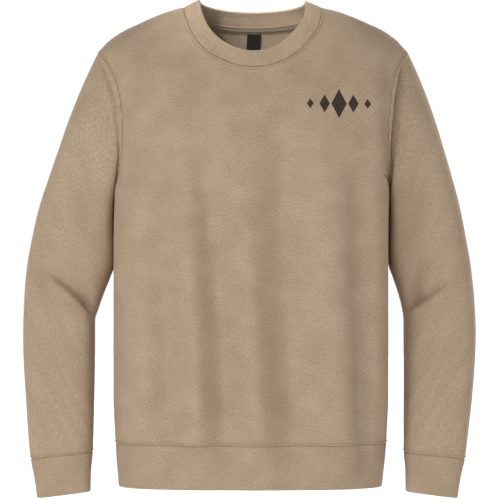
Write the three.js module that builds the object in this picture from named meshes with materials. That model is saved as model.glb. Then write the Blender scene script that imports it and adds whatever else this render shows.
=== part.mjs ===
import * as THREE from 'three';

// A crewneck sweatshirt, filled out as if worn with no wearer in it: hollow, open at the neck, hem and cuffs.
// Millimetres, +Z up, +X to the viewer's right, and the front faces -Y.
// The origin is midway between the neck ends of the two shoulder seams.
// Every piece is a cloth wall: a grid of outer points, and the same grid moved in by the cloth's thickness.

// Cloth
const SEAM_GAP = 0.3;
const PATCH_GAP = 0.6; // between the back and what is sewn on inside it
const THICK = { fleece: 2.2, rib: 3, tape: 1.2, label: 0.8 };
const LONGEST_MITRE = 1.5; // in wall thicknesses, where two pieces meet at a sharp fold

// Heights on the body
const WAIST_Z = -630;
const HEM_Z = -693;
const UNDERARM_Z = -262;

// Neck and shoulders
const NECK_HALF = 99.7;
const NECK_TOP_Z = -1;
const FRONT_NECK_DROP = 90.7;
const BACK_NECK_DROP = 23.4;
const NECK_POWER = 1.92; // an ellipse is 2
const SHOULDER_HALF = 224;
const SHOULDER_Z = -66;

// The neckband leans in from the neck seam and stands up
const NECKBAND = {
  narrows: 0.768, frontLean: 0.93, backLean: 0.84, sideRise: 10, frontRise: 13.8, backRise: 10.8, bulge: 0.8,
};

// Round section of the body, and how it rounds over at the shoulder seam
const BODY_POWER = 2.6;
const RIDGE = { nearNeckPower: 2, nearArmPower: 2.2, nearNeckDrop: 225, nearArmDrop: 190, from: 100, to: 190 };
// How far the armhole's edge stands out in front and behind, at most as a share of the body's own depth there
const ARMHOLE_REACH = { front: 61, back: 60, power: 0.9, most: 0.95, shortOfShoulder: 0.5 };

// Steps of the grids
const NECK_STEPS = 8; // from the centre to a shoulder seam, closer by the seam
const NECK_CROWD = 1.25;
const SHOULDER_STEPS = 7;
const ARMHOLE_STEPS = 12;
const BODY_STEPS = 11;
const BAND_STEPS = 3;
const COLUMNS_EVEN_UP_TO = 0.2; // share of a panel's height, above which its columns turn to the top edge

const FRONT = -1;
const BACK = 1;

// Half-depth of the body in front of and behind the side seams, and how far its middle sways to the right
const bodySections = [
  { z: -693, front: 111, back: 94, sway: -2.2 },
  { z: -630, front: 117, back: 98, sway: -1.5 },
  { z: -550, front: 121, back: 98, sway: -1.5 },
  { z: -450, front: 120, back: 96, sway: -1.5 },
  { z: -350, front: 121, back: 100, sway: -1.5 },
  { z: -262, front: 122, back: 108, sway: 0 },
  { z: -200, front: 120, back: 110, sway: 4.9 },
  { z: -140, front: 114, back: 109, sway: 5.2 },
  { z: -90, front: 106, back: 104, sway: 2.2 },
  { z: -60, front: 104, back: 102, sway: 1.2 },
  { z: -30, front: 102, back: 100, sway: 2.4 },
  { z: 0, front: 100, back: 98, sway: 0.8 },
];

// Half-width of a body panel: the side seam below the underarm, and the armhole edge above it
const panelEdges = [
  { z: -693, half: 190.3 },
  { z: -672, half: 192.2 },
  { z: -652, half: 194.2 },
  { z: -630, half: 195.7 },
  { z: -600, half: 197.3 },
  { z: -570, half: 198.6 },
  { z: -400, half: 198.8 },
  { z: -262, half: 199 },
  { z: -255, half: 196.4 },
  { z: -243, half: 193.4 },
  { z: -225, half: 190.8 },
  { z: -200, half: 189.6 },
  { z: -170, half: 190.2 },
  { z: -150, half: 191.6 },
  { z: -134, half: 193.4 },
  { z: -117, half: 196.7 },
  { z: -105, half: 200.4 },
  { z: -93, half: 205.6 },
  { z: -79, half: 213.8 },
  { z: SHOULDER_Z, half: SHOULDER_HALF },
];

// Height of the shoulder seam, carried on as a crown over the neck opening
const ridgeLine = [
  { x: -50, z: 18 },
  { x: 0, z: 25 },
  { x: 50, z: 18 },
  { x: NECK_HALF, z: NECK_TOP_Z },
  { x: 122.6, z: -7.3 },
  { x: 138, z: -12.8 },
  { x: 153, z: -19 },
  { x: 166, z: -25 },
  { x: 178, z: -30.8 },
  { x: 189, z: -36.8 },
  { x: 198, z: -42.5 },
  { x: 206, z: -48.4 },
  { x: 212.4, z: -54 },
  { x: 218.3, z: -60 },
  { x: SHOULDER_HALF, z: SHOULDER_Z },
];

// Sections across a sleeve from the armhole to the cuff's end: its outer and inner edge seen from the front,
// the middle's distance behind the side seam, its half-depth, and each edge's sway to the viewer's right
const sleeveSections = [
  { at: 0, outX: 224, outZ: -66, inX: 199, inZ: -262, midY: 0, deep: 60, outSway: 0, inSway: 0 },
  { at: 1, outX: 232, outZ: -82, inX: 205, inZ: -265, midY: 3, deep: 62, outSway: 0, inSway: 0 },
  { at: 2, outX: 246, outZ: -112, inX: 205, inZ: -275, midY: 9, deep: 64, outSway: 0, inSway: 0 },
  { at: 3, outX: 262, outZ: -152, inX: 201.8, inZ: -294, midY: 18, deep: 65, outSway: -0.4, inSway: -0.4 },
  { at: 4, outX: 277.8, outZ: -200, inX: 199.8, inZ: -320, midY: 27, deep: 65, outSway: -1.2, inSway: -0.8 },
  { at: 5, outX: 292.4, outZ: -245, inX: 199, inZ: -347, midY: 32, deep: 63, outSway: -2.2, inSway: -0.6 },
  { at: 6, outX: 307, outZ: -293, inX: 200, inZ: -372, midY: 34, deep: 60, outSway: -3.6, inSway: -0.4 },
  { at: 7, outX: 316.2, outZ: -336, inX: 206.5, inZ: -392, midY: 34, deep: 58, outSway: -4.4, inSway: -0.6 },
  { at: 8, outX: 323.6, outZ: -380, inX: 214.2, inZ: -413, midY: 32, deep: 56, outSway: -4.6, inSway: -1.2 },
  { at: 9, outX: 327.4, outZ: -425, inX: 221.4, inZ: -437, midY: 28, deep: 54, outSway: -4.1, inSway: -2.4 },
  { at: 10, outX: 328.7, outZ: -468, inX: 225.1, inZ: -457, midY: 23, deep: 52.5, outSway: -3.8, inSway: -4 },
  { at: 11, outX: 327.5, outZ: -510, inX: 225, inZ: -500, midY: 17, deep: 50.5, outSway: -4, inSway: -4 },
  { at: 12, outX: 323.6, outZ: -560, inX: 225, inZ: -549, midY: 9, deep: 47, outSway: -4.3, inSway: -4.3 },
  { at: 13, outX: 319.2, outZ: -607, inX: 225, inZ: -597, midY: 1, deep: 42, outSway: -5.3, inSway: -4.9 },
  { at: 14, outX: 314, outZ: -653, inX: 225.4, inZ: -643.5, midY: -5, deep: 35, outSway: -6, inSway: -5.4 },
  { at: 15, outX: 307.8, outZ: -682, inX: 227.4, inZ: -672.5, midY: -9, deep: 30, outSway: -6.3, inSway: -5.8 },
  { at: 16, outX: 303.5, outZ: -710, inX: 227.8, inZ: -700.5, midY: -12, deep: 28, outSway: -6.5, inSway: -6 },
];
const CUFF_SEAM = 14;
const SLEEVE_END = 16;
// Rows of the sleeve's grid, closer by the armhole and at the elbow
const sleeveRows = [
  0, 0.5, 1.05, 1.6, 2.3, 3.1, 4, 4.9, 5.8, 6.6, 7.3, 7.9, 8.4, 8.8, 9.2, 9.6, 10, 10.5, 11.3, 12.2, 13.1, CUFF_SEAM,
];
const LOOP_FADE = 4; // the section by which the armhole's own curve has died out

// The sleeve's fullness tucks in beside the armhole seam: along the sleeve, and round it in degrees from the top
const TUCK = { at: 1.05, wide: 0.5, deep: 6, from: 35, full: 80, fades: 150, to: 178 };

// Folds: soft troughs along a line seen from the front or the back, deeper at one end, and steeper below the line
const folds = [
  { face: FRONT, x0: -69, z0: -180, x1: -54, z1: -650, deep0: 3, deep1: 8, wide: 17, steep: 1 },
  { face: FRONT, x0: 17, z0: -180, x1: 46, z1: -650, deep0: 3, deep1: 7.5, wide: 16, steep: 1 },
  { face: FRONT, x0: 143, z0: -240, x1: 158, z1: -640, deep0: 2, deep1: 6.5, wide: 15, steep: 1 },
  { face: FRONT, x0: -163, z0: -330, x1: -144, z1: -640, deep0: 1, deep1: 4.5, wide: 14, steep: 1 },
  { face: FRONT, x0: -140, z0: -118, x1: -70, z1: -290, deep0: 2, deep1: 3, wide: 20, steep: 1 },
  { face: FRONT, x0: -226, z0: -452, x1: -303, z1: -382, deep0: 12, deep1: 3, wide: 15, steep: 3 },
  { face: FRONT, x0: -228, z0: -130, x1: -308, z1: -370, deep0: 2, deep1: 5, wide: 18, steep: 1 },
  { face: FRONT, x0: 226, z0: -449, x1: 280, z1: -414, deep0: 10, deep1: 2, wide: 14, steep: 3 },
  { face: FRONT, x0: 234, z0: -446, x1: 254, z1: -366, deep0: 6, deep1: 2, wide: 12, steep: 1 },
  { face: FRONT, x0: 246, z0: -220, x1: 278, z1: -360, deep0: 2, deep1: 4, wide: 18, steep: 1 },
  { face: BACK, x0: -62, z0: -230, x1: -48, z1: -645, deep0: 3, deep1: 7, wide: 17, steep: 1 },
  { face: BACK, x0: 40, z0: -260, x1: 66, z1: -650, deep0: 2, deep1: 8, wide: 16, steep: 1 },
  { face: BACK, x0: -150, z0: -300, x1: -142, z1: -640, deep0: 2, deep1: 5, wide: 15, steep: 1 },
  { face: BACK, x0: 148, z0: -250, x1: 156, z1: -640, deep0: 1.5, deep1: 6, wide: 15, steep: 1 },
  { face: BACK, x0: -120, z0: -120, x1: -160, z1: -260, deep0: 2, deep1: 4, wide: 18, steep: 1 },
  { face: BACK, x0: 126, z0: -112, x1: 164, z1: -256, deep0: 2, deep1: 4, wide: 18, steep: 1 },
  { face: BACK, x0: -232, z0: -446, x1: -292, z1: -408, deep0: 6, deep1: 2, wide: 14, steep: 2 },
  { face: BACK, x0: 233, z0: -440, x1: 296, z1: -396, deep0: 6, deep1: 2, wide: 14, steep: 2 },
  { face: BACK, x0: -250, z0: -150, x1: -296, z1: -330, deep0: 2, deep1: 4, wide: 18, steep: 1 },
  { face: BACK, x0: 252, z0: -170, x1: 290, z1: -340, deep0: 2, deep1: 4, wide: 18, steep: 1 },
];
const FOLD_END_FADE = 0.25; // share of a fold's length over which each end dies out
const FOLD_FACING = 0.45; // folds die out where the cloth turns further than this to the side

// Back neck tape, sewn inside below the neckband, and the blank label under it,
// in columns from the centre and rows down from the neck edge of the back's grid
const NECK_TAPE = { lastColumn: 7, rows: [1.35, 1, 0.25] };
const NECK_LABEL = { columns: [-0.55, 0, 0.55], rows: [3.9, 3.4, 3, 2.5, 2, 1.68] };

const COLOURS = { fleece: 0xae967c, rib: 0xb0987e, tape: 0xb8a188, label: 0x2a1a17 };

const clamp = (value, low, high) => Math.min(high, Math.max(low, value));
const mix = (a, b, share) => a + (b - a) * share;
const easeBetween = (low, high, value) => {
  const share = clamp((value - low) / (high - low), 0, 1);
  return share * share * (3 - 2 * share);
};
const roundPower = (value, power) => Math.sign(value) * Math.abs(value) ** (2 / power);

// A smooth curve through one column of a table whose rows are in order of its key column
function through(rows, key, name) {
  const keys = rows.map((row) => row[key]);
  const values = rows.map((row) => row[name]);
  const steps = keys.slice(1).map((end, i) => (values[i + 1] - values[i]) / (end - keys[i]));
  const slopes = values.map((_, i) => {
    const before = steps[Math.max(i - 1, 0)];
    const after = steps[Math.min(i, steps.length - 1)];
    return before * after <= 0 ? 0 : (2 * before * after) / (before + after);
  });
  return (at) => {
    const inside = clamp(at, keys[0], keys[keys.length - 1]);
    const next = clamp(keys.findIndex((edge) => edge >= inside), 1, keys.length - 1);
    const i = next - 1;
    const width = keys[next] - keys[i];
    const s = (inside - keys[i]) / width;
    const rise = s * s * (3 - 2 * s);
    const leave = s * (1 - s) * (1 - s) * width * slopes[i];
    const arrive = s * s * (s - 1) * width * slopes[next];
    return mix(values[i], values[next], rise) + leave + arrive;
  };
}

const frontDepth = through(bodySections, 'z', 'front');
const backDepth = through(bodySections, 'z', 'back');
const bodySway = through(bodySections, 'z', 'sway');
const panelHalf = through(panelEdges, 'z', 'half');
const ridgeHeight = through(ridgeLine, 'x', 'z');

// How far the body has rounded out from the shoulder seam, from 0 on the seam to 1
function shoulderRound(x, z) {
  const towardsArm = easeBetween(RIDGE.from, RIDGE.to, Math.abs(x));
  const power = mix(RIDGE.nearNeckPower, RIDGE.nearArmPower, towardsArm);
  const drop = mix(RIDGE.nearNeckDrop, RIDGE.nearArmDrop, towardsArm);
  const left = clamp(1 - (ridgeHeight(Math.abs(x)) - z) / drop, 0, 1);
  return (1 - left ** power) ** (1 / power);
}

// The armhole's angle at a height: 0 at the shoulder point, pi at the underarm
const ARMHOLE_MID_Z = (SHOULDER_Z + UNDERARM_Z) / 2;
const ARMHOLE_HALF_HEIGHT = (SHOULDER_Z - UNDERARM_Z) / 2;
const armholeHeight = (angle) => ARMHOLE_MID_Z + ARMHOLE_HALF_HEIGHT * Math.cos(angle);
const armholeAngle = (z) => Math.acos(clamp((z - ARMHOLE_MID_Z) / ARMHOLE_HALF_HEIGHT, -1, 1));

// Half-width the body's section would have at a height if the armhole didn't cut it off
function sectionHalf(face, z) {
  const edge = panelHalf(z);
  if (z <= UNDERARM_Z) return edge;
  const depth = face === FRONT ? frontDepth(z) : backDepth(z);
  const widest = face === FRONT ? ARMHOLE_REACH.front : ARMHOLE_REACH.back;
  const below = Math.min(z, SHOULDER_Z - ARMHOLE_REACH.shortOfShoulder);
  const reach = widest * Math.sin(armholeAngle(below)) ** ARMHOLE_REACH.power;
  const share = Math.min(reach / (depth * shoulderRound(edge, below)), ARMHOLE_REACH.most);
  return edge / (1 - share ** BODY_POWER) ** (1 / BODY_POWER);
}

// A point of the body's front or back, without folds
function bodyPoint(face, x, z) {
  const depth = face === FRONT ? frontDepth(z) : backDepth(z);
  const across = Math.min(Math.abs(x) / sectionHalf(face, z), 1);
  const section = (1 - across ** BODY_POWER) ** (1 / BODY_POWER);
  return new THREE.Vector3(x + bodySway(z), face * depth * section * shoulderRound(x, z), z);
}

// The neck seam, from 0 at the centre of the front or back to a quarter turn at the shoulder seam
function neckSeam(face, angle) {
  const drop = face === FRONT ? FRONT_NECK_DROP : BACK_NECK_DROP;
  const x = NECK_HALF * roundPower(Math.sin(angle), NECK_POWER);
  const z = NECK_TOP_Z - drop * roundPower(Math.cos(angle), NECK_POWER);
  return { x, z };
}

// Columns of a panel: where each starts on the top edge, and its even share of the width lower down
function panelColumns(face) {
  const steps = NECK_STEPS + SHOULDER_STEPS;
  const columns = [];
  for (let i = -steps; i <= steps; i += 1) {
    const side = Math.sign(i);
    const n = Math.abs(i);
    let top;
    if (n <= NECK_STEPS) {
      top = neckSeam(face, (Math.PI / 2) * (1 - (1 - n / NECK_STEPS) ** NECK_CROWD));
    } else {
      const share = Math.sin((Math.PI / 2) * ((n - NECK_STEPS) / SHOULDER_STEPS));
      const x = mix(NECK_HALF, SHOULDER_HALF, share);
      top = { x, z: ridgeHeight(x) };
    }
    columns.push({
      topZ: top.z,
      topShare: (side * top.x) / SHOULDER_HALF,
      evenShare: Math.sin((Math.PI / 2) * (i / steps)),
    });
  }
  return columns;
}

// Rows of a panel, as heights on its side edge from the waist seam up to the shoulder point
function panelLevels() {
  const levels = [];
  for (let i = 0; i < BODY_STEPS; i += 1) levels.push(mix(WAIST_Z, UNDERARM_Z, i / BODY_STEPS));
  for (let i = 0; i <= ARMHOLE_STEPS; i += 1) levels.push(armholeHeight(Math.PI * (1 - i / ARMHOLE_STEPS)));
  return levels;
}

// Distance from the middle at a share of the half-width: only the outer columns follow the panel's edge
function acrossPanel(share, z) {
  return share * mix(SHOULDER_HALF, panelHalf(z), share ** 4);
}

function panelGrid(face) {
  const columns = panelColumns(face);
  return panelLevels().map((level) => {
    const up = (level - WAIST_Z) / (SHOULDER_Z - WAIST_Z);
    const towardsTop = clamp((up - COLUMNS_EVEN_UP_TO) / (1 - COLUMNS_EVEN_UP_TO), 0, 1);
    return columns.map((column) => {
      const z = mix(WAIST_Z, column.topZ, up);
      const share = mix(column.evenShare, column.topShare, towardsTop);
      return bodyPoint(face, acrossPanel(share, z), z);
    });
  });
}

// Depth of all folds at a place seen from one side
function foldDepth(face, x, z) {
  let depth = 0;
  for (const fold of folds) {
    if (fold.face !== face) continue;
    const alongX = fold.x1 - fold.x0;
    const alongZ = fold.z1 - fold.z0;
    const length = Math.hypot(alongX, alongZ);
    const share = ((x - fold.x0) * alongX + (z - fold.z0) * alongZ) / length ** 2;
    if (share < 0 || share > 1) continue;
    const off = ((z - fold.z0) * Math.abs(alongX) - (x - fold.x0) * alongZ * Math.sign(alongX)) / length;
    const wide = off < 0 ? fold.wide / fold.steep : fold.wide;
    const ends = fold.steep > 1 ? 1 : easeBetween(0, FOLD_END_FADE, share);
    const fade = ends * easeBetween(0, FOLD_END_FADE, 1 - share);
    depth += mix(fold.deep0, fold.deep1, share) * Math.exp(-((off / wide) ** 2)) * fade;
  }
  return depth;
}

// Outward normals of a grid of points whose rows go up or along and whose columns go round
function gridNormals(grid, closed, flip) {
  const last = grid.length - 1;
  return grid.map((row, r) => row.map((_, c) => {
    const count = row.length;
    const after = closed ? (c + 1) % count : Math.min(c + 1, count - 1);
    const before = closed ? (c + count - 1) % count : Math.max(c - 1, 0);
    const round = row[after].clone().sub(row[before]);
    const along = grid[Math.min(r + 1, last)][c].clone().sub(grid[Math.max(r - 1, 0)][c]);
    return round.cross(along).multiplyScalar(flip ? -1 : 1).normalize();
  }));
}

// Presses the folds into a grid, dying out towards its seams
function pressFolds(piece) {
  const normals = gridNormals(piece.grid, piece.closed, piece.flip);
  const last = piece.grid.length - 1;
  return piece.grid.map((row, r) => row.map((point, c) => {
    const fromEnds = easeBetween(0, piece.fade.rows, Math.min(r, last - r));
    const fromSides = piece.closed ? 1 : easeBetween(0, piece.fade.columns, Math.min(c, row.length - 1 - c));
    const normal = normals[r][c];
    const face = normal.y < 0 ? FRONT : BACK;
    const facing = easeBetween(0, FOLD_FACING, Math.abs(normal.y));
    const depth = foldDepth(face, point.x, point.z) * facing * fromEnds * fromSides;
    return point.clone().addScaledVector(normal, -depth);
  }));
}

// A loop round both panels through one row of each, anticlockwise seen from above
const roundBoth = (frontRow, backRow) => [...frontRow, ...backRow.slice(1, -1).reverse()];

// The waistband: a ring round the same columns as the two panels' lower edges
function waistbandGrid() {
  const shares = panelColumns(FRONT).map((column) => column.evenShare);
  return Array.from({ length: BAND_STEPS + 1 }, (_, i) => {
    const z = mix(HEM_Z, WAIST_Z, i / BAND_STEPS);
    const row = (face) => shares.map((share) => bodyPoint(face, acrossPanel(share, z), z));
    return roundBoth(row(FRONT), row(BACK));
  });
}

// A point on an armhole, with the angle going from the shoulder over the front and back up
function armholePoint(side, angle) {
  const face = angle <= Math.PI ? FRONT : BACK;
  const z = armholeHeight(angle);
  return bodyPoint(face, side * panelHalf(z), z);
}

// A point of a sleeve's own round section
const sleeveCurves = Object.fromEntries(
  Object.keys(sleeveSections[0]).map((name) => [name, through(sleeveSections, 'at', name)]),
);
function sectionPoint(side, at, angle) {
  const { outX, outZ, inX, inZ, midY, deep, outSway, inSway } = sleeveCurves;
  const outer = (1 + Math.cos(angle)) / 2;
  return new THREE.Vector3(
    mix(side * inX(at) + inSway(at), side * outX(at) + outSway(at), outer),
    midY(at) - deep(at) * Math.sin(angle),
    mix(inZ(at), outZ(at), outer),
  );
}

// The same point as sewn on: near the armhole the sleeve follows the armhole's curve
function sleevePoint(side, at, angle) {
  const point = sectionPoint(side, at, angle);
  const loopShare = 1 - easeBetween(0, LOOP_FADE, at);
  if (loopShare === 0) return point;
  const offset = armholePoint(side, angle).sub(sectionPoint(side, 0, angle));
  return point.addScaledVector(offset, loopShare);
}

// How deep the tuck beside the armhole is at a place on a sleeve
function tuckDepth(at, angle) {
  const round = THREE.MathUtils.radToDeg(angle);
  const ends = easeBetween(TUCK.from, TUCK.full, round) * (1 - easeBetween(TUCK.fades, TUCK.to, round));
  return TUCK.deep * ends * Math.exp(-(((at - TUCK.at) / TUCK.wide) ** 2));
}

const roundAngles = Array.from({ length: 2 * ARMHOLE_STEPS }, (_, k) => (Math.PI * k) / ARMHOLE_STEPS);
const tubeGrid = (side, places) => places.map((at) => roundAngles.map((angle) => sleevePoint(side, at, angle)));

// A sleeve from the armhole to the cuff seam, with its tuck
function sleeveGrid(side) {
  const grid = tubeGrid(side, sleeveRows);
  const normals = gridNormals(grid, true, side < 0);
  return grid.map((row, r) => row.map((point, c) => (
    point.clone().addScaledVector(normals[r][c], r === 0 ? 0 : -tuckDepth(sleeveRows[r], roundAngles[c]))
  )));
}

// A cuff from the cuff seam to the sleeve's end
function cuffGrid(side) {
  return tubeGrid(side, Array.from({ length: BAND_STEPS + 1 }, (_, i) => mix(CUFF_SEAM, SLEEVE_END, i / BAND_STEPS)));
}

// The neckband: from the two panels' neck edges in and up to its folded edge
function neckbandGrid(frontGrid, backGrid) {
  const neckEdge = (grid) => grid[grid.length - 1].slice(SHOULDER_STEPS, SHOULDER_STEPS + 2 * NECK_STEPS + 1);
  const seam = roundBoth(neckEdge(frontGrid), neckEdge(backGrid));
  return Array.from({ length: BAND_STEPS + 1 }, (_, i) => {
    const up = i / BAND_STEPS;
    const bulge = (NECKBAND.bulge * Math.sin(Math.PI * up)) / NECK_HALF;
    return seam.map((low) => {
      const front = low.y < 0;
      const towardsMiddle = Math.sqrt(1 - Math.min(Math.abs(low.x) / NECK_HALF, 1) ** 2);
      const lean = front ? NECKBAND.frontLean : NECKBAND.backLean;
      const endRise = front ? NECKBAND.frontRise : NECKBAND.backRise;
      return new THREE.Vector3(
        low.x * (mix(1, NECKBAND.narrows, up) + bulge),
        low.y * (mix(1, lean, up) + bulge),
        low.z + up * (NECKBAND.sideRise + endRise * towardsMiddle),
      );
    });
  });
}

// A patch that lies inside the back: points between those of its inner wall, moved in by a gap.
// Its columns and rows are counted on the back's grid, from the centre and from the neck edge down.
function patchInside(back, inner, columns, rows, thick) {
  const middle = SHOULDER_STEPS + NECK_STEPS;
  const top = back.grid.length - 1;
  const between = (grid, r, c) => {
    const r0 = Math.min(Math.floor(r), top - 1);
    const c0 = Math.floor(c);
    const low = grid[r0][c0].clone().lerp(grid[r0][c0 + 1], c - c0);
    const high = grid[r0 + 1][c0].clone().lerp(grid[r0 + 1][c0 + 1], c - c0);
    return low.lerp(high, r - r0);
  };
  const layer = (deep) => rows.map((down) => columns.map((across) => {
    const normal = between(back.normals, top - down, middle + across).normalize();
    return between(inner, top - down, middle + across).addScaledVector(normal, -deep);
  }));
  return { outer: layer(PATCH_GAP), inner: layer(PATCH_GAP + thick) };
}

// Edges of a grid as loops that run anticlockwise seen from outside, each vertex as [row, column]
function edgeLoops(piece) {
  const rows = piece.grid.length;
  const count = piece.grid[0].length;
  const low = Array.from({ length: count }, (_, c) => [0, c]);
  const high = Array.from({ length: count }, (_, c) => [rows - 1, count - 1 - c]);
  const loops = piece.closed
    ? [low, high]
    : [[
      ...low.slice(0, -1),
      ...Array.from({ length: rows - 1 }, (_, r) => [r, count - 1]),
      ...high.slice(0, -1),
      ...Array.from({ length: rows - 1 }, (_, r) => [rows - 1 - r, 0]),
    ]];
  return piece.flip ? loops.map((loop) => loop.slice().reverse()) : loops;
}

// Gives each edge vertex the outward direction and the thickness that it shares with the pieces it is sewn to
function shareSeams(pieces) {
  const edge = pieces.flatMap((piece) => edgeLoops(piece).flat().map(([r, c]) => ({
    piece, r, c, point: piece.grid[r][c], normal: piece.normals[r][c],
  })));
  for (const piece of pieces) piece.seams = new Map();
  for (const one of edge) {
    const sewn = edge.filter((other) => other.point.distanceTo(one.point) < SEAM_GAP / 10);
    const joined = sewn.some((other) => other.piece !== one.piece);
    const sum = new THREE.Vector3();
    for (const other of sewn) sum.add(other.normal);
    sum.normalize();
    const least = Math.min(...sewn.map((other) => other.normal.dot(sum)));
    const mitre = 1 / Math.max(least, 1 / LONGEST_MITRE);
    const thick = sewn.reduce((total, other) => total + other.piece.thick, 0) / sewn.length;
    one.piece.seams.set(`${one.r},${one.c}`, { joined, direction: sum, depth: thick * mitre });
  }
}

// Draws the sewn edges back by half a gap and gives the outer and inner points of a piece's wall
function wallPoints(piece) {
  const outer = piece.grid.map((row) => row.map((point) => point.clone()));
  const inner = piece.grid.map((row, r) => row.map((point, c) => (
    point.clone().addScaledVector(piece.normals[r][c], -piece.thick)
  )));
  for (const loop of edgeLoops(piece)) {
    const seams = loop.map(([r, c]) => piece.seams.get(`${r},${c}`));
    const points = loop.map(([r, c]) => piece.grid[r][c]);
    const inward = points.map((point, k) => {
      const next = (k + 1) % loop.length;
      if (!seams[k].joined || !seams[next].joined) return null;
      const along = points[next].clone().sub(point);
      return seams[k].direction.clone().add(seams[next].direction).cross(along).normalize();
    });
    loop.forEach(([r, c], k) => {
      const before = inward[(k + loop.length - 1) % loop.length];
      const after = inward[k];
      const shift = new THREE.Vector3();
      if (before && after) shift.addVectors(before, after).divideScalar(1 + Math.max(before.dot(after), -0.5));
      else if (before || after) shift.copy(before ?? after);
      shift.multiplyScalar(SEAM_GAP / 2);
      outer[r][c].add(shift);
      inner[r][c].copy(outer[r][c]).addScaledVector(seams[k].direction, -seams[k].depth);
    });
  }
  return { outer, inner };
}

// A closed solid between an outer and an inner grid
function wallGeometry({ outer, inner }, closed, flip) {
  const rows = outer.length;
  const count = outer[0].length;
  const positions = [...outer.flat(), ...inner.flat()].flatMap((point) => [point.x, point.y, point.z]);
  const outside = (r, c) => r * count + (c % count);
  const inside = (r, c) => rows * count + outside(r, c);
  const index = [];
  const quad = (a, b, c, d) => index.push(...(flip ? [a, c, b, a, d, c] : [a, b, c, a, c, d]));
  // An edge's quad is cut from its lower outer point, so that two sewn edges are cut alike
  const height = (v) => positions[3 * v + 2] + positions[3 * v + 1] / 2;
  const edgeQuad = (outerA, outerB, innerB, innerA) => {
    if (height(outerA) < height(outerB)) quad(outerA, outerB, innerB, innerA);
    else quad(outerB, innerB, innerA, outerA);
  };
  const spans = closed ? count : count - 1;
  for (let r = 0; r < rows - 1; r += 1) {
    for (let c = 0; c < spans; c += 1) {
      quad(outside(r, c), outside(r, c + 1), outside(r + 1, c + 1), outside(r + 1, c));
      quad(inside(r, c), inside(r + 1, c), inside(r + 1, c + 1), inside(r, c + 1));
    }
  }
  for (let c = 0; c < spans; c += 1) {
    edgeQuad(outside(0, c + 1), outside(0, c), inside(0, c), inside(0, c + 1));
    edgeQuad(outside(rows - 1, c), outside(rows - 1, c + 1), inside(rows - 1, c + 1), inside(rows - 1, c));
  }
  if (!closed) {
    for (let r = 0; r < rows - 1; r += 1) {
      edgeQuad(outside(r, 0), outside(r + 1, 0), inside(r + 1, 0), inside(r, 0));
      edgeQuad(outside(r + 1, count - 1), outside(r, count - 1), inside(r, count - 1), inside(r + 1, count - 1));
    }
  }
  const geometry = new THREE.BufferGeometry();
  geometry.setAttribute('position', new THREE.Float32BufferAttribute(positions, 3));
  geometry.setIndex(index);
  geometry.computeVertexNormals();
  return geometry;
}

function addPiece(group, name, geometry, cloth) {
  const material = new THREE.MeshStandardMaterial({ color: COLOURS[cloth], roughness: 0.95, metalness: 0 });
  const mesh = new THREE.Mesh(geometry, material);
  mesh.name = name;
  group.add(mesh);
}

const panelFade = { rows: 1.5, columns: 2 };
const sleeveFade = { rows: 2 };
const frontGrid = panelGrid(FRONT);
const backGrid = panelGrid(BACK);

const pieces = [
  { name: 'front_panel', grid: frontGrid, closed: false, flip: false, fade: panelFade, cloth: 'fleece' },
  { name: 'back_panel', grid: backGrid, closed: false, flip: true, fade: panelFade, cloth: 'fleece' },
  { name: 'sleeve_left', grid: sleeveGrid(-1), closed: true, flip: true, fade: sleeveFade, cloth: 'fleece' },
  { name: 'sleeve_right', grid: sleeveGrid(1), closed: true, flip: false, fade: sleeveFade, cloth: 'fleece' },
  { name: 'cuff_left', grid: cuffGrid(-1), closed: true, flip: true, cloth: 'rib' },
  { name: 'cuff_right', grid: cuffGrid(1), closed: true, flip: false, cloth: 'rib' },
  { name: 'waistband', grid: waistbandGrid(), closed: true, flip: false, cloth: 'rib' },
  { name: 'neckband', grid: neckbandGrid(frontGrid, backGrid), closed: true, flip: false, cloth: 'rib' },
];
for (const piece of pieces) {
  piece.thick = THICK[piece.cloth];
  if (piece.fade) piece.grid = pressFolds(piece);
  piece.normals = gridNormals(piece.grid, piece.closed, piece.flip);
}
shareSeams(pieces);

const sweatshirt = new THREE.Group();
for (const piece of pieces) {
  piece.wall = wallPoints(piece);
  addPiece(sweatshirt, piece.name, wallGeometry(piece.wall, piece.closed, piece.flip), piece.cloth);
}

const back = pieces.find((piece) => piece.name === 'back_panel');
const tapeColumns = Array.from({ length: 2 * NECK_STEPS + 1 }, (_, i) => (
  clamp(i - NECK_STEPS, -NECK_TAPE.lastColumn, NECK_TAPE.lastColumn)
));
const tape = patchInside(back, back.wall.inner, tapeColumns, NECK_TAPE.rows, THICK.tape);
addPiece(sweatshirt, 'neck_tape', wallGeometry(tape, false, true), 'tape');
const label = patchInside(back, back.wall.inner, NECK_LABEL.columns, NECK_LABEL.rows, THICK.label);
addPiece(sweatshirt, 'neck_label', wallGeometry(label, false, true), 'label');

export default sweatshirt;
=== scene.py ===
import math

import bpy
import numpy as np
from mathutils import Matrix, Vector
from mathutils.bvhtree import BVHTree
from mathutils.kdtree import KDTree
from mathutils.noise import noise


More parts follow.
